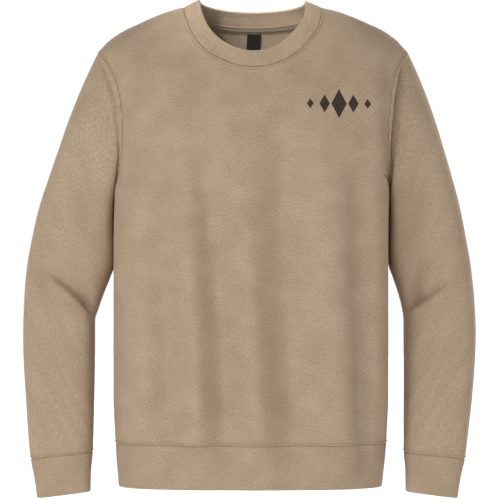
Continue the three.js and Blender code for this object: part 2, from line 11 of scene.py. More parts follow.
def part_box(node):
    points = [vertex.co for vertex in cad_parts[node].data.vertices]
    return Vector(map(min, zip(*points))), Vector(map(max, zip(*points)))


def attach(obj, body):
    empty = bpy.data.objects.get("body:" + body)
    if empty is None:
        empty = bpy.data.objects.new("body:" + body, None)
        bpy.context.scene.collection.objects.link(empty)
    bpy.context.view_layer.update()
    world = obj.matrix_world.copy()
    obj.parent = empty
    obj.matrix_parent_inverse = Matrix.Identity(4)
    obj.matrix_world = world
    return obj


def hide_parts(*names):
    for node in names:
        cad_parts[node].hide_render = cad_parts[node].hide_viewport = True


# A crewneck sweatshirt, filled out and hollow. Its cut is in millimetres, and its meshes are in metres.
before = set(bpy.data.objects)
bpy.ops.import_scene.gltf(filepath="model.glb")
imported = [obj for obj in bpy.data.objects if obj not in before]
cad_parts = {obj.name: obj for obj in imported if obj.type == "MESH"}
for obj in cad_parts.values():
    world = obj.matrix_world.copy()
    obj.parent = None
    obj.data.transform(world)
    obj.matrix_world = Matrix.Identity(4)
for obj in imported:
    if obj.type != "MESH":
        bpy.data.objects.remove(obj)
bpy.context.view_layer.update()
mm = 0.001
pi = math.pi
front, back = -1, 1
print("frame loaded:", len(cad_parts), "pieces")


def ease(low, high, value):
    share = np.clip((value - low) / (high - low), 0, 1)
    return share * share * (3 - 2 * share)


def mixed(a, b, share):
    return a + (b - a) * share


def powered(value, power):
    return np.sign(value) * np.abs(value) ** (2 / power)


def unit(vectors):
    return vectors / np.maximum(np.linalg.norm(vectors, axis=-1, keepdims=True), 1e-12)


def table(names, rows):  # one array for each named column
    return dict(zip(names.split(), np.array(rows, float).T))


def curve(rows, key, name):  # smooth, and never past its own points
    keys, values = rows[key], rows[name]
    steps = np.diff(values) / np.diff(keys)
    before, after = np.append(steps[0], steps), np.append(steps, steps[-1])
    turns = before * after <= 0
    slopes = np.where(turns, 0, 2 * before * after / np.where(turns, 1, before + after))

    def at(place):
        inside = np.clip(place, keys[0], keys[-1])
        i = np.clip(np.searchsorted(keys, inside) - 1, 0, len(keys) - 2)
        width = keys[i + 1] - keys[i]
        s = (inside - keys[i]) / width
        leave = s * (1 - s) ** 2 * width * slopes[i]
        arrive = s * s * (s - 1) * width * slopes[i + 1]
        return mixed(values[i], values[i + 1], s * s * (3 - 2 * s)) + leave + arrive

    return at


# The cut of the body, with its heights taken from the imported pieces
body = {
    "hem": round(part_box("waistband")[0].z / mm),
    "waist": round(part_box("waistband")[1].z / mm),
    "underarm": -262,
    "shoulderHalf": 224,
    "shoulderZ": -66,
    "squareness": 2.8,  # of the section, where an ellipse is 2
}
neck = {"half": 99.7, "top": -1, "frontDrop": 90.7, "backDrop": 23.4, "power": 1.92}
ridge = {"nearNeck": (2, 225), "nearArm": (2.2, 190), "between": (100, 190)}  # power and drop
armhole = {"front": 61, "back": 60, "power": 0.9, "most": 0.95, "level": -72, "opens": 0.9}
wall = {"fleece": 2.2, "rib": 3, "tape": 1.2, "label": 0.8}  # thickness of each cloth

bodySections = table("z front back sway", [
    (-693, 111, 94, -2.2), (-630, 117, 98, -1.5), (-550, 121, 98, -1.5), (-450, 120, 96, -1.5),
    (-350, 121, 100, -1.5), (-262, 122, 108, 0), (-200, 120, 110, 4.9), (-140, 114, 109, 5.2),
    (-90, 106, 104, 2.2), (-60, 104, 102, 1.2), (-30, 102, 100, 2.4), (0, 100, 98, 0.8),
])
panelEdges = table("z half", [
    (-693, 190.3), (-672, 192.2), (-652, 194.2), (-630, 195.7), (-600, 197.3), (-570, 198.6), (-400, 198.8),
    (-262, 199), (-255, 196.4), (-243, 193.4), (-225, 190.8), (-200, 189.6), (-170, 190.2), (-150, 191.6),
    (-134, 193.4), (-117, 196.7), (-105, 200.4), (-93, 205.6), (-79, 213.8), (-66, 224),
])
ridgeLine = table("x z", [
    (-50, 18), (0, 25), (50, 18), (99.7, -1), (122.6, -7.3), (138, -12.8), (153, -19), (166, -25),
    (178, -30.8), (189, -36.8), (198, -42.5), (206, -48.4), (212.4, -54), (218.3, -60), (224, -66),
])
frontDepth = curve(bodySections, "z", "front")
backDepth = curve(bodySections, "z", "back")
bodySway = curve(bodySections, "z", "sway")
panelHalf = curve(panelEdges, "z", "half")
ridgeHeight = curve(ridgeLine, "x", "z")


def shoulderRound(x, z):
    towardsArm = ease(*ridge["between"], np.abs(x))
    power, drop = (mixed(a, b, towardsArm) for a, b in zip(ridge["nearNeck"], ridge["nearArm"]))
    left = np.clip(1 - (ridgeHeight(np.abs(x)) - z) / drop, 0, 1)
    return (1 - left ** power) ** (1 / power)


armholeMid = (body["shoulderZ"] + body["underarm"]) / 2
armholeHalf = (body["shoulderZ"] - body["underarm"]) / 2


def armholeHeight(angle):  # 0 is the shoulder point, pi the underarm
    return armholeMid + armholeHalf * np.cos(angle)


def armholeAngle(z):
    return np.arccos(np.clip((z - armholeMid) / armholeHalf, -1, 1))


def sectionHalf(face, z):
    below = np.minimum(z, armhole["level"])
    edge = panelHalf(below)
    depth = frontDepth(z) if face == front else backDepth(z)
    widest = armhole["front"] if face == front else armhole["back"]
    reach = widest * np.sin(armholeAngle(below)) ** armhole["power"]
    share = np.minimum(reach / (depth * shoulderRound(edge, below)), armhole["most"])
    cutOff = edge / (1 - share ** body["squareness"]) ** (1 / body["squareness"])
    return np.where(z <= body["underarm"], edge, cutOff + armhole["opens"] * (z - below))


def bodyPoint(face, x, z):
    depth = frontDepth(z) if face == front else backDepth(z)
    across = np.minimum(np.abs(x) / sectionHalf(face, z), 1)
    section = (1 - across ** body["squareness"]) ** (1 / body["squareness"])
    return np.stack([x + bodySway(z), face * depth * section * shoulderRound(x, z), z], -1)


def finely(start, end, apart, fromStart=(0,), fromEnd=(0,)):  # places along a line, closer where it is sewn
    inner = np.arange(start + fromStart[-1] + apart, end - fromEnd[-1] - apart / 2, apart)
    return np.concatenate([start + np.array(fromStart), inner, end - np.array(fromEnd)[::-1]])


# How finely the front and back are made: columns count 15 from the centre to the side,
# and rows 11 from the waist to the underarm and 12 more to the shoulder
fineness = {
    "column": 0.23, "row": 0.135, "halfColumns": 15, "neckColumns": 8, "bodyRows": 11, "armholeRows": 12,
    "neckCrowd": 1.25, "evenUpTo": 0.2, "leastApart": 2.4, "leastByNeck": 0.4,
    "bySide": (0, 0.012, 0.03, 0.055, 0.08, 0.11, 0.145, 0.185, 0.23, 0.3, 0.38, 0.48, 0.6),
    "byWaist": (0, 0.02, 0.04, 0.06, 0.08, 0.105, 0.13, 0.16, 0.2, 0.26, 0.34, 0.44),
    "byTop": (0, 0.04, 0.09, 0.15, 0.22, 0.3, 0.4, 0.52, 0.64, 0.76, 0.88, 1, 1.12, 1.24, 1.36, 1.5, 1.64),
}


def panelTop(face, columns):  # where each column meets the neck or the shoulder seam
    n = np.abs(columns)
    toNeck = np.clip(n / fineness["neckColumns"], 0, 1)
    angle = pi / 2 * (1 - (1 - toNeck) ** fineness["neckCrowd"])
    drop = neck["frontDrop"] if face == front else neck["backDrop"]
    neckX = neck["half"] * powered(np.sin(angle), neck["power"])
    neckZ = neck["top"] - drop * powered(np.cos(angle), neck["power"])
    shoulderColumns = fineness["halfColumns"] - fineness["neckColumns"]
    toArm = np.clip((n - fineness["neckColumns"]) / shoulderColumns, 0, 1)
    shoulderX = mixed(neck["half"], body["shoulderHalf"], np.sin(pi / 2 * toArm))
    onNeck = n <= fineness["neckColumns"]
    x = np.where(onNeck, neckX, shoulderX)
    return np.sign(columns) * x, np.where(onNeck, neckZ, ridgeHeight(shoulderX))


def acrossPanel(share, z):
    return share * mixed(body["shoulderHalf"], panelHalf(z), share ** 4)


def evenShare(columns):
    return np.sin(pi / 2 * columns / fineness["halfColumns"])


def panelLevel(rows):
    lower, upper = fineness["bodyRows"], fineness["armholeRows"]
    onBody = mixed(body["waist"], body["underarm"], rows / lower)
    return np.where(rows <= lower, onBody, armholeHeight(pi * (1 - (rows - lower) / upper)))


def evenLevel(rows):  # the same rows in the panel's middle, where none is needed so close to the next
    levels = panelLevel(rows)
    byUnderarm = np.abs(rows[1:] - fineness["bodyRows"]) < fineness["armholeRows"] / 3
    least = np.where(byUnderarm, fineness["leastApart"], fineness["leastByNeck"])
    steps = np.maximum(np.diff(levels), np.where(rows[1:] > fineness["bodyRows"] / 2, least, 0))
    places = np.append(0, np.cumsum(steps))
    return levels[0] + places * (levels[-1] - levels[0]) / places[-1]


def panelGrid(face, rows, columns, evenly=False):
    topX, topZ = panelTop(face, columns)
    levels = panelLevel(rows)[:, None]
    if evenly:
        levels = mixed(evenLevel(rows)[:, None], levels, ease(0.5, 1, np.abs(evenShare(columns))))
    up = (levels - body["waist"]) / (body["shoulderZ"] - body["waist"])
    even = fineness["evenUpTo"]
    towardsTop = np.clip((up - even) / (1 - even), 0, 1)
    z = mixed(body["waist"], topZ, up)
    share = mixed(evenShare(columns), topX / body["shoulderHalf"], towardsTop)
    return bodyPoint(face, acrossPanel(share, z), z)


# Sleeves, as sections from the armhole to the cuff's end
sleeveSections = table("at outX outZ inX inZ midY deep outSway inSway", [
    (0, 224, -66, 199, -262, 0, 60, 0, 0), (1, 232, -82, 200.8, -265, 3, 62, 0, 0),
    (2, 246, -112, 200.3, -275, 9, 64, 0, 0), (3, 262, -152, 200.2, -294, 18, 65, -0.4, -0.4),
    (4, 277.8, -200, 199.8, -320, 27, 65, -1.2, -0.8), (5, 292.4, -245, 199, -347, 32, 63, -2.2, -0.6),
    (6, 307, -293, 200, -372, 34, 60, -3.6, -0.4), (7, 316.2, -336, 206.5, -392, 34, 58, -4.4, -0.6),
    (8, 323.6, -380, 214.2, -413, 32, 56, -4.6, -1.2), (9, 327.4, -425, 221.4, -437, 28, 54, -4.1, -2.4),
    (10, 328.7, -468, 225.1, -457, 23, 52.5, -3.8, -4), (11, 327.5, -510, 225, -500, 17, 50.5, -4, -4),
    (12, 323.6, -560, 225, -549, 9, 47, -4.3, -4.3), (13, 319.2, -607, 225, -597, 1, 42, -5.3, -4.9),
    (14, 314, -653, 225.4, -643.5, -5, 35, -6, -5.4), (15, 307.8, -682, 227.4, -672.5, -9, 30, -6.3, -5.8),
    (16, 303.5, -710, 227.8, -700.5, -12, 28, -6.5, -6),
])
sleeveCurve = {name: curve(sleeveSections, "at", name) for name in sleeveSections}
sleeve = {
    "cuffSeam": 14, "end": 16, "loopFade": 4, "squareness": 4, "flat": 0.93,
    "round": 144,  # columns round a sleeve
    "row": 0.08,
    "byArmhole": (
        0, 0.03, 0.06, 0.1, 0.14, 0.19, 0.25, 0.32, 0.4, 0.49, 0.58, 0.67, 0.76, 0.85, 0.94, 1.03, 1.12,
    ),
    "byCuff": (0, 0.013, 0.027, 0.042, 0.057, 0.075, 0.095, 0.12, 0.16, 0.21, 0.27),
}


def sectionPoint(side, at, angle):
    c = {name: where(at) for name, where in sleeveCurve.items()}
    square = sleeve["squareness"]
    reach = (np.abs(np.cos(angle)) ** square + np.abs(np.sin(angle)) ** square) ** (-1 / square)
    outer = (1 + reach * np.cos(angle)) / 2
    return np.stack([
        mixed(side * c["inX"] + c["inSway"], side * c["outX"] + c["outSway"], outer),
        c["midY"] - c["deep"] * sleeve["flat"] * reach * np.sin(angle),
        mixed(c["inZ"], c["outZ"], outer),
    ], -1)


def armholePoint(side, angle):
    z = armholeHeight(angle)
    x = side * panelHalf(z)
    return np.where((angle % (2 * pi) <= pi)[..., None], bodyPoint(front, x, z), bodyPoint(back, x, z))


def sleeveGrid(side, places):
    # angles start at the underarm seam and go over the back
    angles = pi + 2 * pi * np.arange(sleeve["round"]) / sleeve["round"]
    at, angle = np.meshgrid(places, angles, indexing="ij")
    loopShare = 1 - ease(0, sleeve["loopFade"], at)
    offset = armholePoint(side, angle) - sectionPoint(side, np.zeros_like(at), angle)
    return sectionPoint(side, at, angle) + loopShare[..., None] * offset, at, angle


# The neckband leans in from the neck seam and stands up to its fold
neckband = {
    "narrows": 0.768, "frontLean": 0.93, "backLean": 0.84, "bulge": 0.8,
    "side": 10, "front": 13.8, "back": 10.8,  # height at the sides, and what the middles add to it
}


def neckbandGrid(seam, ups):
    up = np.array(ups)[:, None]
    x, y, z = seam.T[:, None]
    isFront = y < 0
    towardsMiddle = np.sqrt(1 - np.minimum(np.abs(x) / neck["half"], 1) ** 2)
    lean = np.where(isFront, neckband["frontLean"], neckband["backLean"])
    rise = np.where(isFront, neckband["front"], neckband["back"])
    bulge = neckband["bulge"] * np.sin(pi * up) / neck["half"]
    return np.stack([
        x * (mixed(1, neckband["narrows"], up) + bulge),
        y * (mixed(1, lean, up) + bulge),
        z + up * (neckband["side"] + rise * towardsMiddle),
    ], -1)


# Grids: rows go up or along, columns round or across
def gridNormals(grid, closed, flip):
    if closed:
        across = np.roll(grid, -1, 1) - np.roll(grid, 1, 1)
    else:
        across = np.gradient(grid, axis=1)
    along = np.gradient(grid, axis=0)
    return unit(np.cross(across, along)) * (-1 if flip else 1)


def dense(rows, apart=0.4):  # rows whose first three numbers are a place, with no gap over apart
    steps = np.linalg.norm(np.diff(rows[:, :3], axis=0), axis=1)
    place = np.append(0, np.cumsum(steps))
    wanted = np.linspace(0, place[-1], max(2, int(place[-1] / apart)))
    return np.stack([np.interp(wanted, place, column) for column in rows.T], -1)


def treeOf(points):
    tree = KDTree(len(points))
    for i, point in enumerate(points):
        tree.insert(point, i)
    tree.balance()
    return tree


def closest(tree, points):  # the number of the tree's nearest point to each, and its distance
    found = [tree.find(point) for point in points.reshape(-1, 3)]
    return [np.array([one[k] for one in found]).reshape(points.shape[:-1]) for k in (1, 2)]


# Folds, seen from the front or back: soft troughs, or ridges where the depth is below 0, along a bowed line.
# steep narrows the side below the line, and makes it end sharply at its first point. Each row is x and z at
# both ends, bow, depth at both ends, width and steep.
foldRows = {
    front: [
        (-80, -90, -36, -800, 10, 11, 27, 23, 1), (47, -70, 72, -780, -9, 10, 29, 30, 1),
        (148, -200, 168, -780, -3, 8, 12, 14, 1), (-152, -130, -116, -780, 4, 9, 24, 25, 1),
        (-150, -118, -98, -290, -10, 4, 5, 20, 1), (-12, -130, 22, -780, -5, -7, -11, 21, 1),
        (108, -150, 128, -780, 4, -5, -9, 26, 1), (-98, -200, -72, -780, 5, -4, -10, 19, 1),
        (177, -30, 182, -780, 3, -9, -5, 13, 1), (-204, -471, -304, -376, 6, 20, 7, 17, 4),
        (-298, -404, -300, -318, -3, 4, 6, 17, 1), (-214, -492, -285, -426, 6, -5, -2, 14, 1),
        (198, -446, 292, -388, -5, 19, 5, 16, 4), (230, -436, 256, -352, 5, 8, 3, 12, 1),
        (236, -476, 300, -430, -4, -5, -2, 15, 1),
    ],
    back: [
        (-66, -150, -40, -780, 6, 5, 13, 26, 1), (46, -190, 72, -780, -5, 5, 14, 25, 1),
        (-154, -260, -136, -780, 4, 4, 10, 20, 1), (150, -230, 166, -780, -4, 4, 10, 18, 1),
        (-8, -200, 12, -780, 5, -4, -7, 26, 1), (104, -260, 116, -780, 5, -3, -5, 24, 1),
        (-120, -120, -160, -260, 8, 3, 5, 18, 1), (126, -112, 164, -256, -8, 3, 5, 18, 1),
        (-232, -446, -292, -408, 5, 9, 3, 14, 2), (233, -440, 296, -396, -5, 9, 3, 14, 2),
        (-250, -150, -296, -330, -8, 3, 5, 18, 1), (252, -170, 290, -340, 8, 3, 5, 18, 1),
    ],
}
folds = table("face x0 z0 x1 z1 bow deep0 deep1 wide steep", [
    (face, *row) for face, its in foldRows.items() for row in its
])
foldEnds, creaseEnds = 0.3, 0.1  # share of its length over which a fold, or a crease's sharp end, dies out
foldFacing = {"panel": 0.4, "sleeve": 0.95}  # and how far the cloth may turn to the side
foldLevels = [(-693, 0.15), (-622, 0.6), (-590, 0.88), (-560, 1), (0, 1)]  # flatter by the waistband
foldShare = curve(table("z share", foldLevels), "z", "share")


def foldDepth(grid, normals, facing):
    total = np.zeros(grid.shape[:2])
    x, z = grid[..., 0], grid[..., 2]
    face = np.where(normals[..., 1] < 0, front, back)
    for side, x0, z0, x1, z1, bow, deep0, deep1, wide, steep in zip(*folds.values()):
        alongX, alongZ = x1 - x0, z1 - z0
        length = math.hypot(alongX, alongZ)
        share = ((x - x0) * alongX + (z - z0) * alongZ) / length ** 2
        off = ((z - z0) * abs(alongX) - (x - x0) * alongZ * np.sign(alongX)) / length
        off = off - bow * np.sin(pi * np.clip(share, 0, 1))
        width = np.where(off < 0, wide / steep, wide)
        fade = ease(0, creaseEnds if steep > 1 else foldEnds, share) * ease(0, foldEnds, 1 - share)
        total += (face == side) * fade * mixed(deep0, deep1, share) * np.exp(-(off / width) ** 2)
    return total * foldShare(z) * ease(0, facing, np.abs(normals[..., 1]))


# In front the sleeve's cloth tucks in beside the armhole seam, sharply towards it and softly away from it.
# ends and middle are how far from the seam it lies there. Where it starts, widens, narrows and stops
# is in degrees round from the shoulder.
tuck = {
    "left": {"deep": 4, "ends": 5, "middle": 11, "sharp": 2.6, "soft": 5},
    "right": {"deep": 12, "ends": 6, "middle": 13.5, "sharp": 2.6, "soft": 11},
    "widens": (24, 55), "narrows": (85, 128), "starts": (18, 48), "stops": (148, 177),
}


def tuckDepth(name, grid, angle):
    cut = tuck[name]
    fromSeam = np.cumsum(np.linalg.norm(np.diff(grid, axis=0, prepend=grid[:1]), axis=-1), 0)
    turn = np.degrees(angle) % 360
    middle = ease(*tuck["widens"], turn) * (1 - ease(*tuck["narrows"], turn))
    past = fromSeam - mixed(cut["ends"], cut["middle"], middle)
    share = ease(*tuck["starts"], turn) * (1 - ease(*tuck["stops"], turn)) * (turn < 180)
    return cut["deep"] * share * np.exp(-(past / np.where(past < 0, cut["sharp"], cut["soft"])) ** 2)


# Soft unevenness of the cloth in two sizes, each longer up and down than across
uneven = {"size": (62, 26), "tall": (4.5, 3), "deep": (0.9, 0.14), "fades": 26}


def unevenness(grid):
    total = np.zeros(grid.shape[:2])
    for size, tall, deep in zip(uneven["size"], uneven["tall"], uneven["deep"]):
        scaled = grid.reshape(-1, 3) / np.array([size, size, size * tall])
        total += deep * np.array([noise(Vector(place)) for place in scaled]).reshape(total.shape)
    return total


# Seams, as heights over the cloth at a distance from the seam line
seamForm = {
    "groove": (-1.3, 0, 1),  # height, place and width where two pieces meet
    "welt": (0.8, 2, 1.1),  # the cloth that stands up over the turned edge
    "stitched": (-0.9, 3.6, 0.75),  # the line that the needle pulls down
    "allowance": (0.35, 0.6, 9),  # the turned edge: height, share that is flat, reach
    "byTip": (4, 26),  # all of this dies out near the shoulder's tip
    "sharedWithin": 6,  # distance over which the cloth turns to the seam's own direction
}


def seamRelief(distance, welted):
    def hump(height, place, width):
        return height * np.exp(-((distance - place) / width) ** 2)

    relief = hump(*seamForm["groove"])
    if welted:
        high, flat, reach = seamForm["allowance"]
        relief = relief + hump(*seamForm["welt"]) + hump(*seamForm["stitched"])
        relief = relief + high * (1 - ease(flat * reach, reach, distance))
    return relief


# The pieces as smooth grids, each with its edges by the seam that they are sewn in
columns = finely(
    -fineness["halfColumns"], fineness["halfColumns"], fineness["column"],
    fineness["bySide"], fineness["bySide"],
)
rows = finely(
    0, fineness["bodyRows"] + fineness["armholeRows"], fineness["row"],
    fineness["byWaist"], fineness["byTop"],
)
rows[np.argmin(np.abs(rows - fineness["bodyRows"]))] = fineness["bodyRows"]
for neckColumn in (-fineness["neckColumns"], fineness["neckColumns"]):
    columns[np.argmin(np.abs(columns - neckColumn))] = neckColumn
underarmRow = int(np.flatnonzero(rows == fineness["bodyRows"])[0])
neckFrom, neckTo = (int(np.flatnonzero(columns == n * fineness["neckColumns"])[0]) for n in (-1, 1))
inwardBy = 6  # grid lines from an edge, to tell which way its cloth lies


def panelPiece(face):
    grid = panelGrid(face, rows, columns, True)
    up, down = slice(underarmRow, None), slice(0, underarmRow + 1)
    fromLow, fromTop = inwardBy, -1 - inwardBy
    return {
        "grid": grid, "closed": False, "flip": face == back, "cloth": "fleece",
        "edges": {
            "waist": (grid[0], grid[fromLow]),
            "side_left": (grid[down, 0], grid[down, fromLow]),
            "side_right": (grid[down, -1], grid[down, fromTop]),
            "armhole_left": (grid[up, 0], grid[up, fromLow]),
            "armhole_right": (grid[up, -1], grid[up, fromTop]),
            "shoulder_left": (grid[-1, : neckFrom + 1], grid[fromTop, : neckFrom + 1]),
            "neck": (grid[-1, neckFrom : neckTo + 1], grid[fromTop, neckFrom : neckTo + 1]),
            "shoulder_right": (grid[-1, neckTo:], grid[fromTop, neckTo:]),
        },
        "welted": {"waist", "armhole_left", "armhole_right", "neck", "shoulder_left", "shoulder_right"},
        "foldReach": {"armhole_left": 24, "armhole_right": 24, "neck": 40,
                      "side_left": 30, "side_right": 30, "shoulder_left": 30, "shoulder_right": 30},
    }


def tubeEdge(grid, low):
    edge, inside = (grid[0], grid[inwardBy]) if low else (grid[-1], grid[-1 - inwardBy])
    return np.vstack([edge, edge[:1]]), np.vstack([inside, inside[:1]])


def sleevePiece(side, name):
    places = finely(0, sleeve["cuffSeam"], sleeve["row"], sleeve["byArmhole"], sleeve["byCuff"])
    grid, at, angle = sleeveGrid(side, places)
    normals = gridNormals(grid, True, side < 0)
    grid = grid - normals * (tuckDepth(name, grid, angle) * (at > 0))[..., None]
    return {
        "grid": grid, "closed": True, "flip": side < 0, "cloth": "fleece",
        "edges": {
            "armhole_" + name: tubeEdge(grid, True),
            "cuff_" + name: tubeEdge(grid, False),
            "sleeve_" + name: (grid[:, 0], grid[:, inwardBy]),
        },
        "welted": {"cuff_" + name},
        "foldReach": {"armhole_" + name: 40, "cuff_" + name: 30},
    }


# The rib pieces end in a fold: their rows are distances from it
ribRows = {
    "byFold": (0, 0.12, 0.4, 0.8, 1.2, 1.6, 2.4, 3.4), "apart": 2.6,
    "bySeam": (0, 0.6, 1.2, 1.9, 2.7, 3.6, 4.8, 6.4),
}


def ribPlaces(length):  # as shares of its length from the fold to the seam
    return finely(0, length, ribRows["apart"], ribRows["byFold"], ribRows["bySeam"]) / length


def ribPiece(grid, flip, fold, seamName):
    return {
        "grid": grid, "closed": True, "flip": flip, "cloth": "rib", "fold": fold,
        "edges": {seamName: tubeEdge(grid, fold == "high")}, "welted": set(),
    }


def waistbandPiece():
    levels = mixed(body["hem"], body["waist"], ribPlaces(body["waist"] - body["hem"]))
    share = evenShare(columns)[None, :]
    z = levels[:, None] + 0 * share
    halves = [bodyPoint(face, acrossPanel(share, z), z) for face in (front, back)]
    grid = np.concatenate([halves[0], halves[1][:, -2:0:-1]], 1)
    return {**ribPiece(grid, False, "low", "waist"), "foldReach": {}}  # the body's folds run on into it


def cuffPiece(side, name):
    length = -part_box("cuff_" + name)[0].z / mm + sleeveCurve["outZ"](sleeve["cuffSeam"])
    places = mixed(sleeve["end"], sleeve["cuffSeam"], ribPlaces(length))[::-1]
    return ribPiece(sleeveGrid(side, places)[0], side < 0, "high", "cuff_" + name)


def neckbandPiece(panels):
    edges = [panel["edges"]["neck"][0] for panel in panels]
    line = np.concatenate([edges[0], edges[1][-2:0:-1]])
    ups = 1 - ribPlaces(neckband["side"] + (neckband["front"] + neckband["back"]) / 2)[::-1]
    return ribPiece(neckbandGrid(line, ups), False, "high", "neck")


frontPanel, backPanel = panelPiece(front), panelPiece(back)
pieces = {
    "front_panel": frontPanel,
    "back_panel": backPanel,
    "sleeve_left": sleevePiece(-1, "left"),
    "sleeve_right": sleevePiece(1, "right"),
    "cuff_left": cuffPiece(-1, "left"),
    "cuff_right": cuffPiece(1, "right"),
    "waistband": waistbandPiece(),
    "neckband": neckbandPiece((frontPanel, backPanel)),
}
for piece in pieces.values():
    piece["normals"] = gridNormals(piece["grid"], piece["closed"], piece["flip"])
print("cut:", {name: piece["grid"].shape[:2] for name, piece in pieces.items()})

# Where pieces are sewn, they share one direction and one thickness
sewnWithin = 0.5
mostMitre = 1.5  # how much thicker than its pieces a seam may get
ownEdges = {}
for name, piece in pieces.items():
    found = []
    nearest = treeOf(piece["grid"].reshape(-1, 3))
    for seamName, (line, inside) in piece["edges"].items():
        normals = piece["normals"].reshape(-1, 3)[closest(nearest, line)[0]]
        piece["edges"][seamName] = dense(np.hstack([line, normals, inside - line]))
        found.append(piece["edges"][seamName])
    everywhere = np.concatenate(found)
    ownEdges[name] = (treeOf(everywhere[:, :3]), everywhere, wall[piece["cloth"]])

seams = {}
owners = ("neckband", "waistband", "cuff_left", "cuff_right", "sleeve_left", "sleeve_right", "front_panel")
for name in owners:  # a seam's line is the edge of the first piece that has it
    for seamName, edge in pieces[name]["edges"].items():
        if seamName in seams:
            continue
        places = edge[:, :3]
        directions, thickness, joined = np.zeros_like(places), np.zeros(len(places)), np.zeros(len(places))
        meeting = []
        for tree, everywhere, thick in ownEdges.values():
            index, distance = closest(tree, places)
            near = distance < sewnWithin
            own = everywhere[index, 3:6] * near[:, None]
            directions += own
            thickness += thick * near
            joined += near
            meeting.append(own)
        directions = unit(directions)
        least = np.min([np.where(own.any(1), (own * directions).sum(1), 1) for own in meeting], axis=0)
        mitre = 1 / np.maximum(least, 1 / mostMitre)
        seams[seamName] = {
            "tree": treeOf(places), "directions": directions, "thickness": thickness / joined * mitre,
        }
print("sewn:", ", ".join(seams))


def sewnWall(name, piece):  # the outer and inner points of a piece's cloth, with its folds and seams
    grid, normals = piece["grid"], piece["normals"]
    thick = np.full(grid.shape[:2], float(wall[piece["cloth"]]))
    distances, foldFade, nearest = {}, 1.0, np.full(grid.shape[:2], np.inf)
    shared, sharedThick = normals.copy(), thick.copy()
    for seamName in piece["edges"]:
        line = seams[seamName]
        index, distance = closest(line["tree"], grid)
        distances[seamName] = distance
        closer = distance < nearest
        shared[closer] = line["directions"][index[closer]]
        sharedThick[closer] = line["thickness"][index[closer]]
        nearest = np.minimum(nearest, distance)
        reach = piece.get("foldReach", {}).get(seamName)
        foldFade = np.minimum(foldFade, ease(0, reach, distance)) if reach else foldFade
    own = ease(0, seamForm["sharedWithin"], nearest)[..., None]
    direction = unit(mixed(shared, normals, own))
    grid = grid + direction * (unevenness(grid) * ease(0, uneven["fades"], nearest))[..., None]
    if "foldReach" in piece:
        facing = foldFacing["sleeve" if name.startswith("sleeve") else "panel"]
        grid = grid - direction * (foldDepth(grid, direction, facing) * foldFade)[..., None]
        folded = gridNormals(grid, piece["closed"], piece["flip"])
        direction = unit(mixed(shared, folded, own))
    relief = sum(seamRelief(distances[seamName], seamName in piece["welted"]) for seamName in distances)
    tip = np.array([body["shoulderHalf"], 0, body["shoulderZ"]])
    fromTip = np.linalg.norm(np.abs(grid) * (1, 1, -1) - tip, axis=-1)
    relief = relief * ease(*seamForm["byTip"], fromTip)
    outer = grid + direction * relief[..., None]
    inner = grid - direction * mixed(sharedThick, thick, own[..., 0])[..., None]
    if "fold" in piece:
        radius = wall[piece["cloth"]] / 2
        end = grid[0] if piece["fold"] == "low" else grid[-1]
        fromFold = np.linalg.norm(grid - end[None], axis=-1)
        turned = radius - np.sqrt(radius ** 2 - np.clip(radius - fromFold, 0, radius) ** 2)
        outer = outer - direction * turned[..., None]
        inner = inner + direction * turned[..., None]
    return outer, inner


def clothMap(grid, closed):  # how far each point is across and along the cloth, in metres
    if closed:
        grid = np.concatenate([grid, grid[:, :1]], 1)
    across = np.cumsum(np.linalg.norm(np.diff(grid[..., :2], axis=1), axis=-1), 1)
    along = np.cumsum(np.linalg.norm(np.diff(grid[..., 1:], axis=0), axis=-1), 0)
    across = np.concatenate([np.zeros((len(grid), 1)), across], 1)
    along = np.concatenate([np.zeros((1, grid.shape[1])), along], 0)
    middle = across[:, grid.shape[1] // 2]
    return np.stack([across - middle[:, None], along], -1) * mm


def surfaceTree(grid, closed):  # to find the nearest place on a grid, in millimetres
    count, around = grid.shape[:2]
    r, c = np.meshgrid(np.arange(count - 1), np.arange(around if closed else around - 1), indexing="ij")
    low, high = r * around, (r + 1) * around
    nextC = (c + 1) % around
    quads = np.stack([low + c, low + nextC, high + nextC, high + c], -1).reshape(-1, 4)
    return BVHTree.FromPolygons(grid.reshape(-1, 3).tolist(), quads.tolist())


def placed(name, data):
    made = bpy.data.objects.new(name, data)
    bpy.context.scene.collection.objects.link(made)
    return made


def meshOf(name, points, faces, maps=None, groups=None):
    mesh = bpy.data.meshes.new(name)
    mesh.from_pydata((points * mm).tolist(), [], faces.tolist())
    if maps is not None:
        layer = mesh.uv_layers.new(name="cloth")
        layer.uv.foreach_set("vector", maps.reshape(-1).astype(np.float32))
    if groups is not None:
        mesh.polygons.foreach_set("material_index", groups)
    mesh.polygons.foreach_set("use_smooth", np.ones(len(mesh.polygons), bool))
    mesh.update()
    return placed(name, mesh)


